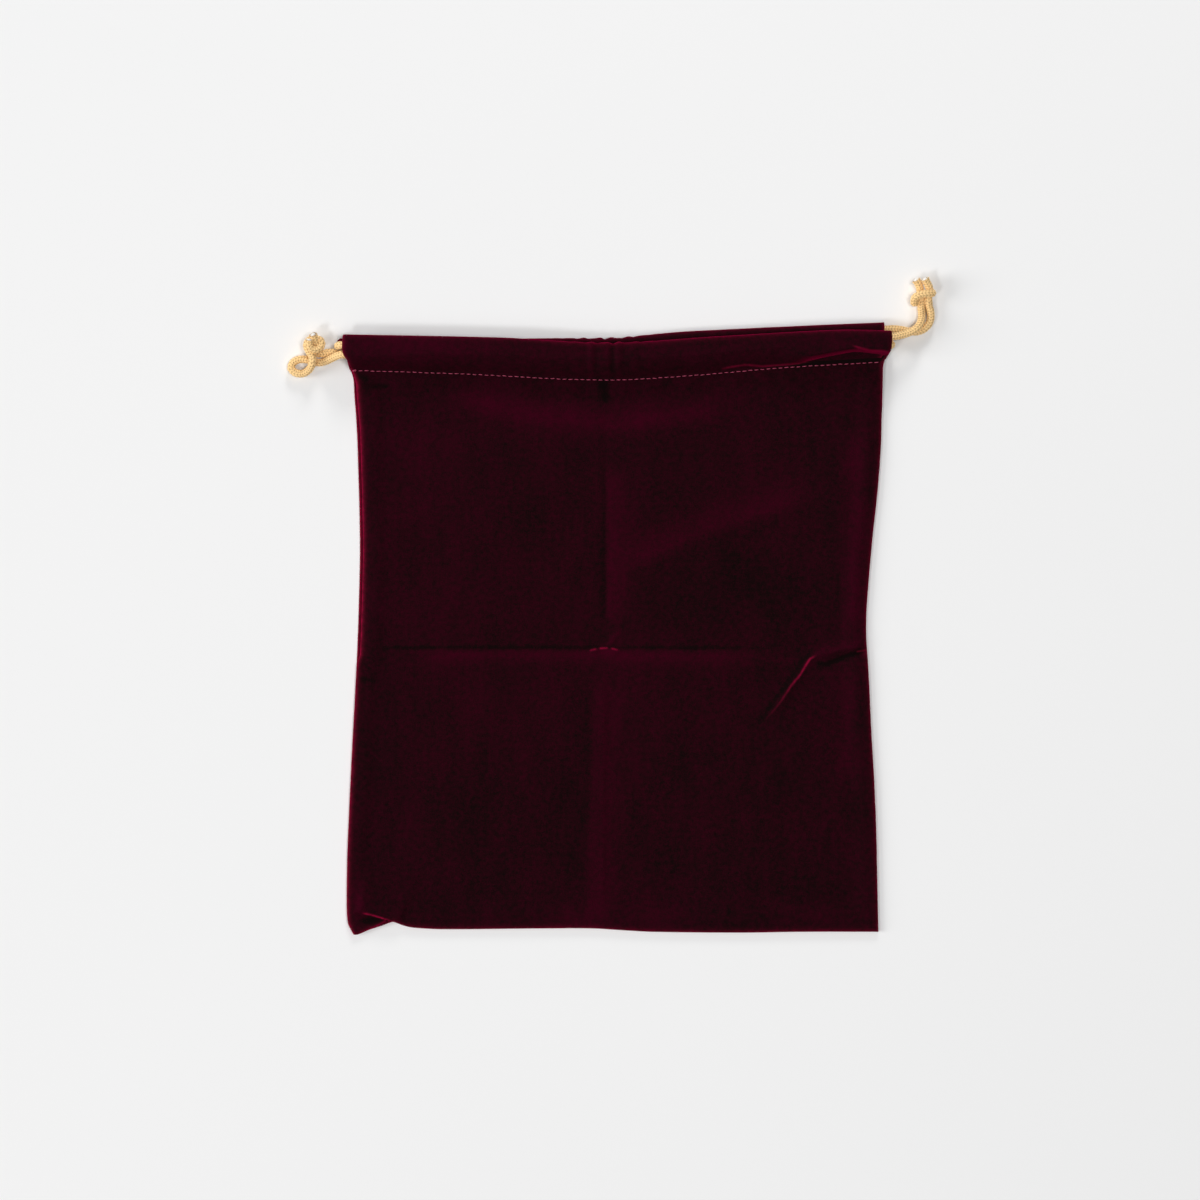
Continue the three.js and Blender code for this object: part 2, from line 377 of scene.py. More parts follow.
LEFT_ROUTE = [
    (-0.1534, 0.1439, 0.0098), (-0.1534, 0.1416, 0.0092), (-0.1523, 0.1398, 0.0083),
    (-0.1498, 0.1395, 0.0078), (-0.1477, 0.1413, 0.0074), (-0.1479, 0.1435, 0.0068),
    (-0.1503, 0.1447, 0.0046), (-0.1533, 0.1439, 0.0026), (-0.1544, 0.1414, FLOOR_CORD),
    (-0.1529, 0.1388, FLOOR_CORD), (-0.1500, 0.1378, FLOOR_CORD),
    (-0.1469, 0.1377, FLOOR_CORD), (-0.1444, 0.1381, FLOOR_CORD), (-0.1416, 0.1381, FLOOR_CORD),
    (-0.1392, 0.1374, FLOOR_CORD), (-0.1365, 0.1370, 0.0029), (-0.1330, 0.1370, BACK_CORD),
    (-0.0900, 0.1369, BACK_CORD), (-0.0450, 0.1367, BACK_CORD), (0.0000, 0.1366, BACK_CORD),
    (0.0420, 0.1404, BACK_CORD), (0.0820, 0.1426, BACK_CORD), (0.1180, 0.1440, BACK_CORD),
    (0.1336, 0.1432, BACK_CORD), (0.1361, 0.1426, 0.0040), (0.1370, 0.1419, 0.0063),
    (0.1361, 0.1412, 0.0086), (0.1336, 0.1409, FRONT_CORD),
    (0.1100, 0.1407, FRONT_CORD), (0.0820, 0.1390, FRONT_CORD), (0.0520, 0.1377, FRONT_CORD),
    (0.0250, 0.1359, FRONT_CORD), (-0.0030, 0.1344, FRONT_CORD), (-0.0300, 0.1357, FRONT_CORD),
    (-0.0580, 0.1370, FRONT_CORD), (-0.1050, 0.1376, FRONT_CORD), (-0.1330, 0.1372, FRONT_CORD),
    (-0.1370, 0.1369, 0.0092), (-0.1396, 0.1362, 0.0078), (-0.1426, 0.1350, 0.0056),
    (-0.1458, 0.1337, 0.0032), (-0.1496, 0.1331, FLOOR_CORD), (-0.1542, 0.1344, FLOOR_CORD),
    (-0.1588, 0.1347, FLOOR_CORD), (-0.1621, 0.1331, FLOOR_CORD), (-0.1630, 0.1303, FLOOR_CORD),
    (-0.1608, 0.1280, FLOOR_CORD), (-0.1570, 0.1277, 0.0025), (-0.1538, 0.1297, 0.0044),
    (-0.1521, 0.1329, 0.0067), (-0.1522, 0.1359, 0.0066),
    (-0.1539, 0.1386, 0.0063), (-0.1549, 0.1414, 0.0061), (-0.1541, 0.1437, 0.0056),
    (-0.1519, 0.1448, 0.0038), (-0.1492, 0.1442, 0.0026), (-0.1483, 0.1424, 0.0032),
    (-0.1494, 0.1417, 0.0054), (-0.1507, 0.1437, 0.0079), (-0.1516, 0.1466, 0.0098),
]

RIGHT_ROUTE = [
    (0.1495, 0.1742, 0.0052), (0.1506, 0.1724, 0.0046), (0.1515, 0.1702, 0.0036),
    (0.1516, 0.1668, 0.0026), (0.1502, 0.1638, 0.0024), (0.1487, 0.1630, 0.0040),
    (0.1488, 0.1652, 0.0062), (0.1514, 0.1668, 0.0072), (0.1550, 0.1673, 0.0070),
    (0.1576, 0.1676, 0.0050), (0.1570, 0.1682, 0.0028), (0.1541, 0.1670, FLOOR_CORD),
    (0.1526, 0.1638, FLOOR_CORD),
    (0.1523, 0.1607, FLOOR_CORD), (0.1526, 0.1578, 0.0025), (0.1523, 0.1548, 0.0038),
    (0.1512, 0.1520, 0.0056), (0.1493, 0.1498, 0.0068), (0.1466, 0.1481, 0.0073),
    (0.1432, 0.1469, 0.0080), (0.1386, 0.1458, 0.0090), (0.1335, 0.1453, FRONT_CORD),
    (0.1100, 0.1451, FRONT_CORD), (0.0820, 0.1434, FRONT_CORD), (0.0520, 0.1421, FRONT_CORD),
    (0.0250, 0.1403, FRONT_CORD), (-0.0030, 0.1388, FRONT_CORD), (-0.0300, 0.1401, FRONT_CORD),
    (-0.0580, 0.1414, FRONT_CORD), (-0.1050, 0.1420, FRONT_CORD), (-0.1290, 0.1416, FRONT_CORD),
    (-0.1362, 0.1415, FRONT_CORD), (-0.1385, 0.1414, 0.0086), (-0.1394, 0.1413, 0.0063),
    (-0.1385, 0.1414, 0.0040), (-0.1362, 0.1415, BACK_CORD), (-0.1290, 0.1414, BACK_CORD),
    (-0.1000, 0.1412, BACK_CORD), (-0.0450, 0.1411, BACK_CORD), (0.0020, 0.1411, BACK_CORD),
    (0.0420, 0.1449, BACK_CORD), (0.0620, 0.1462, BACK_CORD), (0.1020, 0.1481, BACK_CORD),
    (0.1335, 0.1496, BACK_CORD), (0.1382, 0.1499, 0.0029), (0.1424, 0.1495, FLOOR_CORD),
    (0.1462, 0.1488, FLOOR_CORD), (0.1499, 0.1486, FLOOR_CORD), (0.1533, 0.1497, FLOOR_CORD),
    (0.1558, 0.1521, FLOOR_CORD), (0.1570, 0.1554, FLOOR_CORD), (0.1569, 0.1586, FLOOR_CORD),
    (0.1563, 0.1610, FLOOR_CORD),
    (0.1558, 0.1641, 0.0036), (0.1557, 0.1672, 0.0040), (0.1562, 0.1697, 0.0046),
    (0.1557, 0.1714, 0.0054), (0.1546, 0.1731, 0.0062), (0.1538, 0.1745, 0.0068),
]


def in_channel(point):
    return abs(point.x) < HALF_WIDTH - 8 * MM


def cord_pace(point):
    return 2.0 * MM if in_channel(point) else 0.22 * MM


def braid_height(along, around):
    """0 in a groove to 1 on top of a strand. The strands lie in a herringbone."""
    column = around * BRAID_COLUMNS
    across = column - math.floor(column)
    climb = across if math.floor(column) % 2 == 0 else 1 - across
    step = along / BRAID_PITCH + BRAID_LEAN * climb
    off = 2 * (step - math.floor(step)) - 1
    return math.sqrt(max(0.0, 1 - off * off)) * (0.45 + 0.55 * math.sin(math.pi * across) ** 0.6)


def braided_cord(name, route):
    """A tube along the route whose surface is the braid's own strands."""
    line = smooth_route(route, cord_pace)
    far = lengths(line)
    rings = len(line) - 1
    bm = bmesh.new()
    bmesh.ops.create_grid(bm, x_segments=rings, y_segments=CORD_SIDES, size=0.5)
    uv = bm.loops.layers.uv.new("UVMap")
    raised = bm.verts.layers.float.new("raised")
    for face in bm.faces:
        for loop in face.loops:
            ring = round((loop.vert.co.x + 0.5) * rings)
            loop[uv].uv = (far[ring], loop.vert.co.y + 0.5)
    frames = []
    normal = Vector((0, 0, 1))
    for i in range(len(line)):
        along = (line[min(i + 1, rings)] - line[max(i - 1, 0)]).normalized()
        normal = (normal - along * normal.dot(along)).normalized()
        frames.append((normal.copy(), along.cross(normal)))
    for vert in bm.verts:
        ring = round((vert.co.x + 0.5) * rings)
        around = (vert.co.y + 0.5) % 1.0
        relief = 0.5 if in_channel(line[ring]) else braid_height(far[ring], around)
        vert[raised] = relief
        to_cut = min(far[ring], far[-1] - far[ring])
        radius = CORD_RADIUS - BRAID_DEPTH * (1 - relief) + FRAY * math.exp(-to_cut / (1.2 * MM))
        angle = 2 * math.pi * around
        up, side = frames[ring]
        vert.co = line[ring] + (up * math.cos(angle) + side * math.sin(angle)) * radius
    bmesh.ops.remove_doubles(bm, verts=bm.verts, dist=0.01 * MM)
    bmesh.ops.holes_fill(bm, edges=[edge for edge in bm.edges if edge.is_boundary])
    bmesh.ops.recalc_face_normals(bm, faces=bm.faces)
    piece = finished(name, bm, BRAID)
    return piece, line, far[-1]


def cut_ends(name, line):
    """The white filler and the loose yarns that show where the cord is cut."""
    chance = random.Random(name)
    bm = bmesh.new()
    for tip, inner in ((line[0], line[6]), (line[-1], line[-7])):
        out = (tip - inner).normalized()
        turn = out.to_track_quat("Z", "Y").to_matrix().to_4x4()
        turn.translation = tip
        made = bmesh.ops.create_uvsphere(bm, u_segments=16, v_segments=10, radius=1.0)
        for vert in made["verts"]:
            fuzz = 1 + 0.12 * noise.noise(vert.co * 3.0)
            vert.co = Vector((vert.co.x * 1.15, vert.co.y * 1.15, vert.co.z * 0.7)) * fuzz * MM
        bmesh.ops.transform(bm, verts=made["verts"], matrix=turn)
        for _ in range(26):
            spoke = chance.uniform(0, 2 * math.pi)
            reach = chance.uniform(0.2, 1.6) * MM
            foot = Vector((reach * math.cos(spoke), reach * math.sin(spoke), -0.3 * MM))
            lean = foot * chance.uniform(0.1, 0.5) + Vector((0, 0, chance.uniform(0.7, 1.3) * MM))
            hair = bmesh.ops.create_cone(bm, cap_ends=True, segments=5, radius1=0.13 * MM,
                                         radius2=0.05 * MM, depth=lean.length)
            stand = lean.to_track_quat("Z", "Y").to_matrix().to_4x4()
            stand.translation = foot + lean / 2
            bmesh.ops.transform(bm, verts=hair["verts"], matrix=turn @ stand)
    return finished(name, bm, CORE)


def drawcord(side, route):
    piece, line, length = braided_cord(f"{side}_drawcord_braid", route)
    ends = cut_ends(f"{side}_cut_ends", line)
    for made in (piece, ends):
        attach(made, "root")
    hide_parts(f"{side}_drawcord", f"{side}_knot")


drawcord("left", LEFT_ROUTE)
drawcord("right", RIGHT_ROUTE)


# ---- outlines of the pouch, in millimetres: seams and folds across, then side seams up ----

bottom_seam = smooth_through([
    (-134.3, -153.2), (-132.8, -153.3), (-129.9, -152.5), (-125.4, -150.9), (-117.3, -148.6),
    (-112.3, -146.9), (-111.0, -146.9), (-107.9, -148.3), (-104.8, -149.3), (-100.8, -149.9),
    (-88, -150.5), (-37, -150.1), (-13, -150.1), (2, -151.0), (17, -151.8), (62, -152.2),
    (92, -151.8), (134, -151.8),
])
channel_stitching = smooth_through([
    (-137, 129.3), (-79, 127.4), (-6, 124.3), (38, 126.6), (82, 130.4), (137, 133.6),
])
front_fold = smooth_through([
    (-137, 146.8), (-58, 145.2), (-4, 142.6), (52, 145.9), (110, 149.0), (137, 148.7),
])
back_fold = smooth_through([
    (-137, 145.1), (-60, 145.0), (-28, 145.3), (2, 145.5), (17, 147.0), (32, 148.4),
    (46, 149.2), (102, 151.8), (137, 153.2),
])
left_seam = smooth_through([
    (-153.2, -131.9), (-151.5, -132.8), (-148, -134.5), (-144, -135.1), (-136, -135.3),
    (-124, -135.2), (-110, -134.9), (-66, -132.9), (-16, -130.3), (14, -129.2), (44, -128.7),
    (89, -129.8), (104, -130.5), (116, -131.4), (128, -132.3), (134, -134.6), (137, -136.4),
    (140, -136.9), (144, -136.8), (149, -136.2),
])
right_seam = smooth_through([
    (-153, 130.9), (-124, 130.3), (-100, 129.8), (-76, 128.8), (-52, 127.4), (-28, 126.3),
    (-16, 125.6), (-4, 124.8), (8, 124.9), (20, 125.7), (44, 127.8), (68, 130.4),
    (80, 131.4), (92, 132.2), (104, 132.5), (128, 132.8), (133, 133.3), (139, 136.4),
    (148, 136.9), (154, 136.4),
])
# Where the front channel's cloth starts to rise off its stitching. Towards the right mouth
# the cloth has slipped up, and lies flat between the stitching and a sharp tuck.
channel_tuck = smooth_through([
    (78, 130.4), (90, 132.2), (99, 134.2), (107, 135.9), (115, 137.4), (120, 138.0),
    (131, 137.2), (137, 136.6),
])

# The crest of the wrinkle that runs down from the right end of the cross crease.
WRINKLE = [(99.9, -13.2), (96.5, -15.3), (94.9, -17.8), (91.6, -23.3), (87.4, -28.3),
           (84.1, -33.3), (81.1, -37.8), (75.7, -44.1), (69.9, -50.8)]

# ---- creases and wrinkles of the front panel: (points, height, reach left of it, right of it) ----
# The pouch was stored folded in four, so its cross crease turns from valley to ridge.
CREASES = [
    ([(-131, -9.6), (-60, -9.3), (-7, -9.6), (40, -10.6), (98, -12.4)], 0.55, 1.3, 6.0),
    ([(-6.2, -8), (-5.6, 40), (-5.8, 90), (-6.5, 122)], -0.40, 1.6, 9.0),
    ([(-7.2, -151), (-7.0, -90), (-6.6, -45), (-6.4, -12)], 0.55, 9.0, 1.6),
    ([(127, -8.6), (119.6, -9.0), (109, -11.0), *WRINKLE], 1.50, 3.2, 1.8),
    ([(125, -12.2), (119, -12.6), (111.6, -14.8), (103, -18.6)], -1.10, 2.4, 2.0),
    ([(-4.6, -9.0), (-1.6, -4.6), (1.6, -0.6)], 0.50, 1.2, 1.0),
    ([(-13.5, -12.2), (-10.4, -11.0), (-8.2, -10.2)], 0.60, 1.2, 1.2),
    ([(-3.4, -10.2), (-0.8, -11.6), (2.4, -12.0)], 0.55, 1.0, 1.2),
    ([(-131, 124.4), (-124, 122.6), (-114, 122.8)], -0.70, 1.4, 1.4),
    ([(-129, 120.0), (-121, 119.4)], -0.45, 1.2, 1.4),
    ([(-136, -70), (-126, -66.5), (-113, -66)], -0.25, 1.5, 1.5),
    ([(120, 80), (131, 84)], 0.35, 2.0, 2.0),
    ([(-116.0, -145.8), (-118.4, -147.0), (-121.4, -148.8), (-124.4, -150.4)], 0.75, 0.9, 0.9),
]
# At the lower left corner the front cloth hangs over in a fold.
CORNER_FOLD = [(-131.5, -141.4), (-127.5, -142.2), (-123.1, -143.0), (-119.5, -144.0),
               (-116, -145.2), (-111.7, -146.6), (-107.9, -148.3)]

# Crests sharp enough for the pile to stand open, with a painted highlight: one fine bright crimson line of
# sheen along each:
# (points, strength, share of the length over which the line fades out).
CRESTS = [
    (WRINKLE, 0.62, 0.9),
    (CORNER_FOLD[1:6], 0.70, 0.3),
    ([(-115, -145.6), (-119.5, -148.3), (-123.1, -150.1), (-126.8, -152.0)], 0.45, 0.3),
    ([(51.5, 129.8), (55.8, 130.8), (64.2, 132.1), (72.6, 131.4), (79.6, 131.9), (90.8, 132.8),
      (100.7, 134.9), (107.7, 136.5), (114.7, 138.4), (119.9, 139.3)], 0.30, 0.3),
    ([(136.1, 137.9), (132.2, 138.6), (125.9, 138.9), (119.6, 140.3), (116.1, 141.4)], 0.32, 0.3),
    ([(-13.8, -11.0), (-9.8, -10.2)], 0.45, 0.3),
    ([(-9.2, -10.0), (-4.2, -9.7)], 0.60, 0.3),
    ([(-3.2, -9.9), (0.8, -10.8)], 0.45, 0.3),
    ([(119.5, -11.4), (126, -10.6)], 0.25, 0.3),
]

# ---- where the pile is brushed up and shows lighter, or is pressed and shows darker, and painted light and shade on the sides and in the hollows of creases, folds and wrinkles ----
# Broad patches: (middle, half width, half length, strength)
NAP_AND_PAINTED_LIGHT_PATCHES = [
    ((-98, 96), 26, 14, 0.17), ((66, 20), 42, 24, -0.14), ((-129, -136), 4, 11, 0.45),
    ((-40, -40), 60, 22, 0.08), ((70, -100), 50, 50, -0.08), ((-80, -110), 40, 36, -0.05),
    ((-102, 141), 42, 7, 0.38), ((20, 138), 70, 6, 0.12), ((100, 143), 30, 4, 0.10),
    # The patch at (-122, -146.4) is painted shade in the recess under the lower left corner fold.
    ((-122, -146.4), 5.5, 1.7, -0.9), ((-21, -147), 12, 8, 0.30), ((20, -143), 26, 7, 0.10),
    ((120, 4), 9, 9, 0.16), ((-5, -11), 6, 1.8, 0.5), ((-96, 26), 30, 34, 0.08),
]
# Bands along a line, mostly painted light on the sides of creases and wrinkles that face the light and
# painted shade in their hollows: (points, strength, reach left of it, reach right of it)
NAP_AND_PAINTED_LIGHT_BANDS = [
    ([(-94, 117.6), (-41, 106), (2, 102.6), (62, 111)], 0.42, 7.5, 5.5),
    ([(0, 30), (46, 50), (101, 68)], 0.33, 11.0, 3.4),
    ([(-4.0, -4), (-3.8, 40), (-4.4, 86)], 0.36, 1.6, 8.5),
    ([(-9.5, -14), (-10.5, -60), (-12.5, -110), (-14, -156)], 0.36, 10.0, 2.6),
    ([(-7.6, -14), (-9.6, -156)], -0.12, 1.0, 12.0),
    ([(118, -6), (119.5, 50), (119, 104)], 0.34, 4.5, 5.0),
    ([(115.5, -18), (115.5, -78)], 0.24, 4.0, 5.0),
    ([(-104, -13.4), (-60, -12.8), (-31, -12.8), (94, -14.2)], 0.36, 2.4, 4.2),
    ([(-129, -9.6), (-60, -9.4), (90, -9.8)], -0.38, 0.9, 0.9),
    ([(-129, -25.8), (-120, -25.8)], -0.30, 1.5, 1.5),
    ([(22, -124), (68, -143)], 0.10, 4.0, 3.0),
    ([(55, -131), (110, -147)], 0.10, 4.0, 3.0),
    ([(-7.2, 125), (-6, 112)], -0.40, 1.7, 1.7),
    ([(-133, 127.2), (-123.8, 124.2)], -0.45, 1.5, 1.5),
    ([(-129, 120.4), (-113, 121.6)], -0.35, 1.5, 1.5),
    ([(-6.6, 0), (-6.4, 84)], -0.20, 1.6, 1.0),
    ([(98.5, -17.8), (105.7, -17.4), (112.4, -14.5), (119, -12), (125, -9.1)], -0.55, 1.0, 1.8),
    ([(97, -14), (110, -10), (125, -7.5)], 0.28, 3.0, 1.4),
    ([(99, -10.5), (92.5, -17.6), (85, -28), (76, -40), (68, -51)], -0.30, 1.6, 1.6),
    ([(-4.6, -9.0), (-1.6, -4.6), (2.0, -0.2)], 0.45, 1.1, 1.1),
]


def beside(points, x, y):
    """How far a place is from a line of points, plus on its left, and how far along, 0 to 1."""
    best, side, where = 1e9, 1.0, 0.0
    spans = len(points) - 1
    for i, (a, b) in enumerate(zip(points, points[1:])):
        dx, dy = b[0] - a[0], b[1] - a[1]
        t = clamp(((x - a[0]) * dx + (y - a[1]) * dy) / (dx * dx + dy * dy))
        off_x, off_y = x - a[0] - t * dx, y - a[1] - t * dy
        far = off_x * off_x + off_y * off_y
        if far < best:
            best, side, where = far, math.copysign(1.0, dx * off_y - dy * off_x), (i + t) / spans
    return side * math.sqrt(best), where


def creased(x, y):
    """Height that the creases add to the front panel, in millimetres, at x, y in millimetres."""
    lift = 0.0
    for points, height, left, right in CREASES:
        off, along = beside(points, x, y)
        reach = left if off > 0 else right
        if abs(off) < 4 * reach:
            fade = ease(0, 0.12, along) * ease(0, 0.25, 1 - along)
            lift += height * fade * math.exp(-abs(off) / reach)
    off, along = beside(CORNER_FOLD, x, y)
    if 0 < along < 1 and abs(off) < 36:
        fade = ease(0, 0.12, along) * ease(0, 0.12, 1 - along)
        lift += fade * (1.7 * math.exp(-off / 10) if off > 0 else -0.55 * math.exp(off / 4))
    return lift


def nearest_crest(x, y):
    """Distance from the nearest crest line, plus on its left, and the strength of its painted highlight
    here.
    """
    nearest, shine = 4.0, 0.0
    for points, strength, tail in CRESTS:
        off, along = beside(points, x, y)
        if abs(off) < abs(nearest):
            fade = ease(0, 0.12, along) * ease(0, tail, 1 - along)
            nearest, shine = off, strength * fade * (1 - ease(2.4, 3.6, abs(off)))
    return nearest, shine


def nap_and_painted_light_at(x, y):
    nap_and_painted_light = 0.32
    for (mid_x, mid_y), wide, tall, strength in NAP_AND_PAINTED_LIGHT_PATCHES:
        far = ((x - mid_x) / wide) ** 2 + ((y - mid_y) / tall) ** 2
        if far < 6:
            nap_and_painted_light += strength * math.exp(-far)
    for points, strength, left, right in NAP_AND_PAINTED_LIGHT_BANDS:
        off, along = beside(points, x, y)
        reach = left if off > 0 else right
        if abs(off) < 2.5 * reach:
            nap_and_painted_light += strength * ease(0, 0.15, along) * ease(0, 0.15, 1 - along) * hump(off, reach)
    return nap_and_painted_light


def spaced(low, high, pace):
    """Shares from 0 to 1, closer together where pace says so."""
    marks = [low]
    while marks[-1] < high:
        marks.append(marks[-1] + pace(marks[-1]))
    whole = marks[-1] - low
    return [(mark - low) / whole for mark in marks]


def column_pace(x):
    near_side = HALF_WIDTH - abs(x)
    if near_side < 9 * MM:
        return mix(0.35 * MM, 1.2 * MM, near_side / (9 * MM)) if near_side > 0 else 0.35 * MM
    if x < -106 * MM:
        return 1.0 * MM
    if abs(x + 7 * MM) < 14 * MM or x > 70 * MM:
        return 1.05 * MM
    return 2.0 * MM


def row_pace(y):
    above_seam = y + HALF_LENGTH
    if above_seam < 4 * MM:
        return 0.4 * MM
    if above_seam < 16 * MM or 112 * MM < y:
        return 0.9 * MM
    if -24 * MM < y < -2 * MM:
        return 0.85 * MM
    if -54 * MM < y < -24 * MM:
        return 1.1 * MM
    return 2.4 * MM


COLUMNS = spaced(-HALF_WIDTH, HALF_WIDTH, column_pace)
BODY_ROWS = spaced(-HALF_LENGTH, 127 * MM, row_pace)
FLAT_ROWS = 5                   # channel rows between the stitching and where the cloth rises
RISE_ROWS = 12
TOP_ROWS = 10
ROLL_ROWS = 12
HEM_ROWS = 8
ROLL = 1.3 * MM                 # radius of the turned edge at a seam
SEAM_ALLOWANCE = 9.0 * MM       # width of the folded edges inside each seam, which lift the cloth
BOTTOM_SPAN = -134.3 * MM, 130.8 * MM   # the side seams where they meet the bottom seam


def gathers(x, phase):
    """Small upright folds near the middle of the mouth, where the cords have drawn the cloth up."""
    near = hump(x - (-3 * MM), 17 * MM)
    return near * (math.sin(x / (1.15 * MM) + phase) + 0.6 * math.sin(x / (0.72 * MM) + 2 * phase))


def panel_line(panel, x):
    """The middle line of one panel at x: up the sheet, over the top fold and down the hem.
    Each point is (y, z, inset from the side seam, part of the panel)."""
    front = panel["front"]
    stitching = channel_stitching(x)
    seam = bottom_seam(mix(*BOTTOM_SPAN, (x / HALF_WIDTH + 1) / 2))
    low, high = panel["seam_sheet"], panel["sheet"]
    top = panel["fold"](x) - CLOTH / 2 + gathers(x, panel["phase"]) * GATHER
    start, rise = stitching + 0.9 * MM, 6.8 * MM
    if front:
        slipped = ease(80 * MM, 100 * MM, x)
        start = mix(start, max(start, channel_tuck(x)), slipped)
        rise = mix(mix(6.0 * MM, 9.0 * MM, ease(-HALF_WIDTH, -60 * MM, x)), 2.0 * MM, slipped)
    shoulder = top - FOLD_DEPTH
    line = []
    for share in BODY_ROWS:
        y = mix(seam, stitching, share)
        lift = ease(stitching - EASE, stitching, y)
        line.append((y, mix(panel["flat"], low, lift), 0.0, "body"))
    for row in range(1, FLAT_ROWS + 1):
        line.append((mix(stitching, start, row / FLAT_ROWS), low, 0.0, "channel"))
    for row in range(1, RISE_ROWS + 1):
        share = row / RISE_ROWS
        line.append((start + rise * share, mix(low, high, share + 0.13 * math.sin(math.pi * share)),
                     0.0, "channel"))
    for row in range(1, TOP_ROWS + 1):
        line.append((mix(start + rise, shoulder, row / TOP_ROWS), high, 0.0, "channel"))
    middle, radius = (panel["sheet"] + panel["hem"]) / 2, (panel["sheet"] - panel["hem"]) / 2
    for row in range(1, ROLL_ROWS + 1):
        turn = row / ROLL_ROWS * math.pi
        line.append((shoulder + FOLD_DEPTH * math.sin(turn), middle + radius * math.cos(turn),
                     HEM_INSET * max(0.0, 2 * row / ROLL_ROWS - 1), "fold"))
    for row in range(1, HEM_ROWS + 1):
        share = row / HEM_ROWS
        y = mix(shoulder, stitching - HEM_LIP, share)
        settle = ease(stitching, stitching + CHANNEL_RISE, y)
        line.append((y, mix(panel["seam_hem"], panel["hem"], settle), HEM_INSET, "hem"))
    return line


def rolled(off):
    """How far a turned edge drops at this distance from the edge."""
    return ROLL - math.sqrt(max(0.0, ROLL ** 2 - max(0.0, ROLL - off) ** 2))


def velvet_panel(name, panel):
    """One panel of velvet with its channel turned over at the top, as one draped sheet."""
    front = panel["front"]
    lines = {}
    columns, rows = len(COLUMNS) - 1, len(panel_line(panel, 0.0)) - 1
    bm = bmesh.new()
    bmesh.ops.create_grid(bm, x_segments=columns, y_segments=rows, size=0.5)
    nap_and_painted_light = bm.verts.layers.float.new("nap_and_painted_light")
    painted_rim_sheen = bm.verts.layers.float.new("painted_rim_sheen")
    painted_sheen = bm.verts.layers.float.new("painted_sheen")
    line_off = bm.verts.layers.float.new("line_off")
    line = bm.verts.layers.float.new("line")
    for vert in bm.verts:
        column, row = round((vert.co.x + 0.5) * columns), round((vert.co.y + 0.5) * rows)
        across = COLUMNS[column]
        plain_x = mix(-HALF_WIDTH, HALF_WIDTH, across)
        if column not in lines:
            lines[column] = panel_line(panel, plain_x)
        y, z, inset, part = lines[column][row]
        right_inset = inset if front else inset * (1 - 0.85 * ease(142 * MM, 147 * MM, y))
        left, right = left_seam(y) + inset, right_seam(y) - right_inset
        if front and part == "body":
            below_channel = ease(-1 * MM, 8 * MM, channel_stitching(plain_x) - y)
            left += FRONT_STEP_IN * ease(-19 * MM, -12 * MM, y) * below_channel
        if not front:
            right -= 2.9 * MM * ease(138 * MM, 146 * MM, y)
            left -= BACK_LOBE * hump(y - 143.6 * MM, 1.4 * MM)
            left -= BACK_SWELL * hump(y - 130.5 * MM, 3.5 * MM)
        x = mix(left, right, across)
        to_side = min(x - left, right - x)
        to_bottom = y - bottom_seam(mix(*BOTTOM_SPAN, across))
        to_edge = min(to_side, to_bottom)
        to_stitching = y - channel_stitching(plain_x)
        vert[nap_and_painted_light] = 0.3
        vert[painted_sheen] = 1.0
        # Painted sheen: a crimson rim along the side and bottom edges, where the cloth turns down.
        left_rim = 1.0 * math.exp(-(x - left) / (0.75 * MM))
        right_rim = 0.6 * math.exp(-(right - x) / (0.7 * MM))
        bottom_rim = 0.6 * math.exp(-abs(to_bottom) / (0.7 * MM))
        vert[painted_rim_sheen] = max(left_rim, right_rim, bottom_rim)
        if part == "body":
            puff = ease(0, 2.2 * MM, to_edge)
            puff *= 1 - ease(0.6 * SEAM_ALLOWANCE, 1.5 * SEAM_ALLOWANCE, to_edge)
            broad = noise.noise(Vector((x * 17, y * 13, panel["phase"])))
            narrow = noise.noise(Vector((x * 42, y * 31, panel["phase"])))
            wave = broad + 0.5 * narrow
            if front:
                loose = ease(0, 12 * MM, -to_stitching)
                settled = ease(0, 8 * MM, to_edge) * loose
                z += SEAM_PUFF * puff * loose + (SETTLE + WAVE * wave) * settled
                z += creased(x / MM, y / MM) * MM * ease(0, 1.5 * MM, to_edge)
                pucker = math.sin(x / (2.6 * MM) + 2 * math.sin(x / (13 * MM)))
                near_stitching = hump(to_stitching + 4 * MM, 5 * MM) * ease(0, 4 * MM, -to_stitching)
                z += PUCKER * pucker * near_stitching
                z -= rolled(to_edge) * 0.8
                z = max(z, BACK_SHEET + LAYER)
                # Brushed pile, plus painted light and shade beside the creases and wrinkles.
                vert[nap_and_painted_light] = nap_and_painted_light_at(x / MM, y / MM)
                # Painted shade: less painted sheen in the recess under the lower left corner fold.
                corner_fold_shade = hump(x + 122 * MM, 5.5 * MM) * hump(y + 146.4 * MM, 1.8 * MM)
                vert[painted_sheen] = 1 - 0.9 * corner_fold_shade
            else:
                z += 0.25 * MM * (1 - ease(0, ROLL, to_edge))
        elif part in ("channel", "fold"):
            if front:
                near_top = ease(0, 10 * MM, to_stitching)
                z += gathers(x, panel["phase"]) * GATHER * near_top
                wave = noise.noise(Vector((x * 24, y * 60, 3.0)))
                z += 0.4 * MM * wave * near_top * ease(0, 6 * MM, to_side)
                # Brushed pile, plus painted light and shade on the sides of the gathers.
                vert[nap_and_painted_light] = nap_and_painted_light_at(x / MM, y / MM) + 0.10 * gathers(x, panel["phase"])
            # Painted sheen: a crimson rim along the top fold of the channel.
            from_top = panel["fold"](plain_x) - y
            vert[painted_rim_sheen] = max(0.5 * vert[painted_rim_sheen], 0.45 * math.exp(-max(0.0, from_top) / (0.7 * MM)))
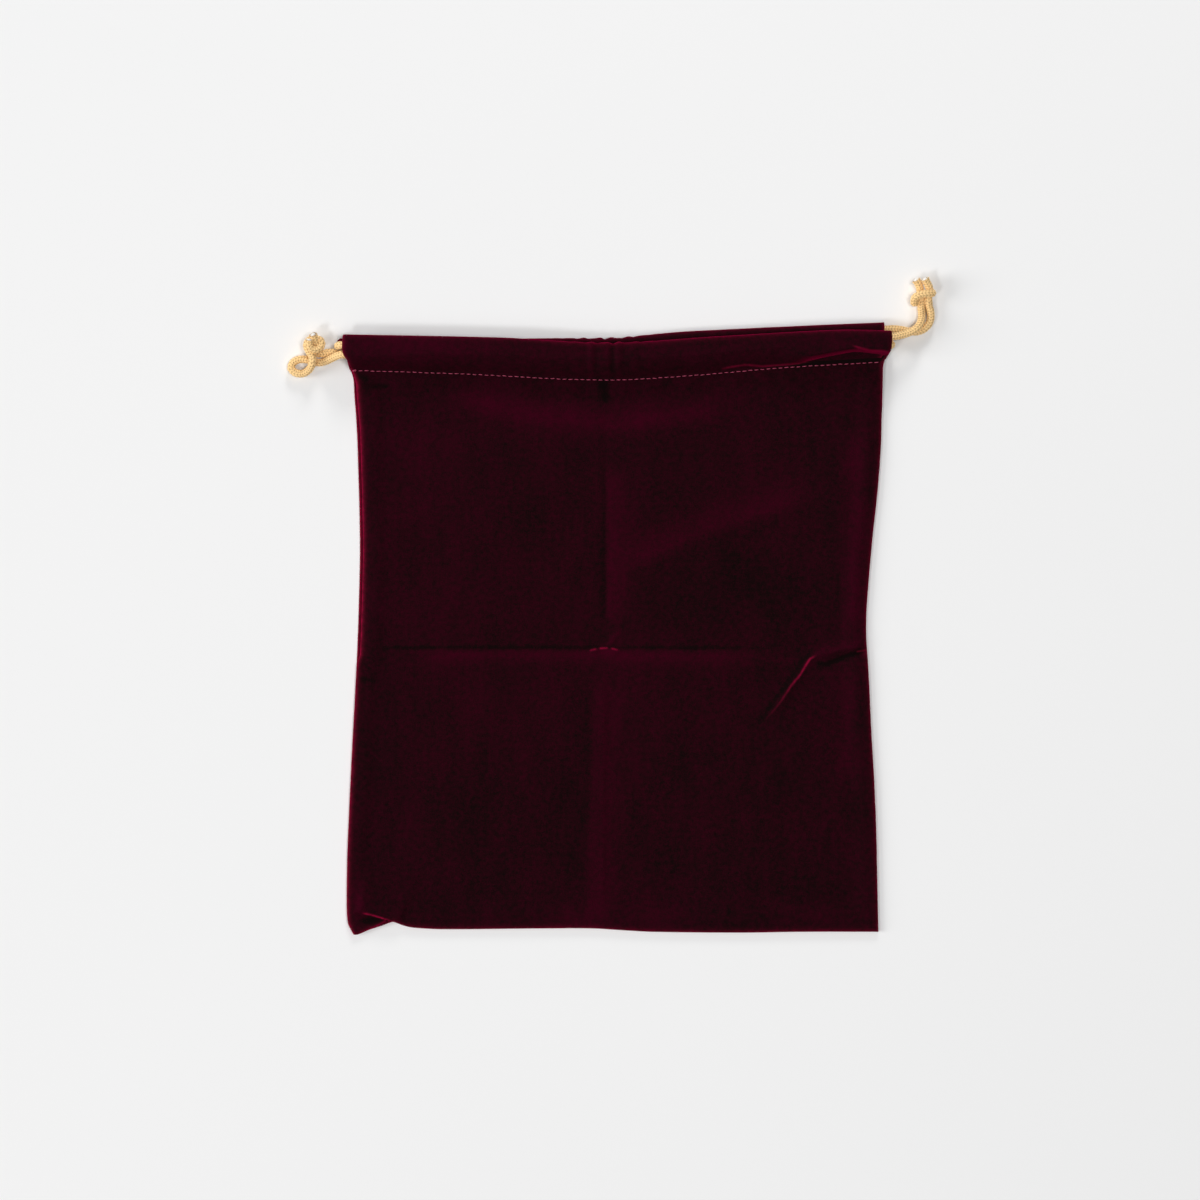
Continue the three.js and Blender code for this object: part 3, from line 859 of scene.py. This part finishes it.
            # Painted shade: the painted sheen is held low on the channel's lower slope, and the cloth
            # below the tuck is darkened, in the shadow of the fold above it.
            if front:
                slipped = ease(84 * MM, 98 * MM, x)
                above_tuck = ease(-0.3 * MM, 1.2 * MM, y - channel_tuck(plain_x))
                up_channel = ease(5 * MM, 12 * MM, to_stitching)
                vert[painted_sheen] = mix(0.12, 1.0, mix(up_channel, above_tuck, slipped))
                vert[nap_and_painted_light] -= 0.7 * (1 - above_tuck) * slipped
            sag = ROLL * 0.8 * (1 - ease(0, ROLL, to_side))
            z += -sag if z > panel["hem"] else sag
        if front:
            if part in ("body", "channel"):
                z -= STITCH_GROOVE * hump(to_stitching, 1.1 * MM)
            if part != "hem":
                # Painted highlight lines along the crests.
                vert[line_off], vert[line] = nearest_crest(x / MM, y / MM)
        vert.co = (x, y, z)
    bmesh.ops.recalc_face_normals(bm, faces=bm.faces)
    piece = finished(name, bm, VELVET)
    wall = piece.modifiers.new("cloth thickness", "SOLIDIFY")
    wall.thickness = CLOTH
    wall.offset = 0.0
    return piece


PANELS = {
    "back": {"front": False, "fold": back_fold, "sheet": BACK_SHEET, "hem": BACK_HEM,
             "flat": BACK_SHEET, "seam_sheet": BACK_SHEET, "seam_hem": BACK_SHEET + LAYER, "phase": 1.9},
    "front": {"front": True, "fold": front_fold, "sheet": FRONT_SHEET, "hem": FRONT_HEM,
              "flat": BACK_SHEET + LAYER, "seam_sheet": BACK_SHEET + 3 * LAYER,
              "seam_hem": BACK_SHEET + 2 * LAYER, "phase": 0.4},
}
for side, panel in PANELS.items():
    made = velvet_panel(f"{side}_velvet", panel)
    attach(made, "root")
    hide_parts(f"{side}_panel")
    under = "back_velvet" if side == "front" else "floor"


# ---- stitching ----

def stitch_row(name, height, thickness):
    """A row of lockstitches along the channel, with a few crossed over at its left end."""
    chance = random.Random(name)
    bm = bmesh.new()

    def stitch(x, length, turn):
        slope = (channel_stitching(x + MM) - channel_stitching(x - MM)) / (2 * MM)
        y = channel_stitching(x) + chance.uniform(-0.1, 0.1) * MM
        made = bmesh.ops.create_uvsphere(bm, u_segments=8, v_segments=6, radius=0.5)
        size = Matrix.Diagonal((length, STITCH_WIDTH, thickness, 1)) @ Matrix.Rotation(math.pi / 2, 4, "Y")
        turned = Matrix.Rotation(math.atan(slope) + turn, 4, "Z")
        matrix = Matrix.Translation((x, y, height)) @ turned @ size
        bmesh.ops.transform(bm, verts=made["verts"], matrix=matrix)

    start = left_seam(channel_stitching(-HALF_WIDTH)) + 1.4 * MM
    end = right_seam(channel_stitching(HALF_WIDTH)) - 1.0 * MM
    for turn in (-0.75, -0.3, 0.35, 0.8):
        stitch(start - 0.2 * MM, 2.0 * MM, turn)
    for i in range(int((end - start) / STITCH_PITCH) + 1):
        length = STITCH_LENGTH * chance.uniform(0.92, 1.06)
        stitch(start + i * STITCH_PITCH, length, chance.uniform(-0.07, 0.07))
    piece = finished(name, bm, THREAD)
    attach(piece, "root")


stitch_row("front_stitching", PANELS["front"]["seam_sheet"] + CLOTH / 2 - 0.22 * MM, 0.55 * MM)
stitch_row("back_stitching", 0.12 * MM, 0.22 * MM)


# ---- studio ----

def floor_paint():
    """Matt white paper with the faintest tooth."""
    paint = Paint("white_paper", roughness=0.85, specular_ior_level=0.2)
    tooth = paint.noise(paint.place(), 900.0, 2.0)
    tone = paint.noise(paint.place(), 2.2, 2.0)
    paint.feed("Base Color", paint.blend(tone, (0.872, 0.872, 0.872, 1.0), (0.888, 0.888, 0.888, 1.0)))
    paint.feed("Normal", paint.bump(tooth, 0.08, 0.1 * MM))
    return paint.material


def softbox(name, place, size, power):
    data = bpy.data.lights.new(name, "AREA")
    data.shape = "DISK"
    data.size = size
    data.energy = power
    light = bpy.data.objects.new(name, data)
    light.location = place
    light.rotation_euler = (-Vector(place)).to_track_quat("-Z", "Y").to_euler()
    bpy.context.scene.collection.objects.link(light)


def studio():
    bm = bmesh.new()
    bmesh.ops.create_grid(bm, x_segments=1, y_segments=1, size=2.5)
    paper = finished("floor", bm, floor_paint())
    world = bpy.data.worlds.new("white_room")
    world.use_nodes = True
    background = world.node_tree.nodes["Background"]
    background.inputs["Color"].default_value = (1.0, 1.0, 1.0, 1.0)
    background.inputs["Strength"].default_value = 0.12
    bpy.context.scene.world = world
    softbox("overhead", (0.7, 0.05, 2.6), 0.8, 25.8)
    softbox("front_window", (-1.27, -1.14, 2.25), 0.6, 19.7)
    softbox("left_window", (-5.5, -0.34, 2.3), 3.0, 219.0)
    softbox("far_window", (0.2, 2.05, 0.80), 0.5, 16.0)
    bpy.context.scene.view_settings.view_transform = "Standard"


studio()
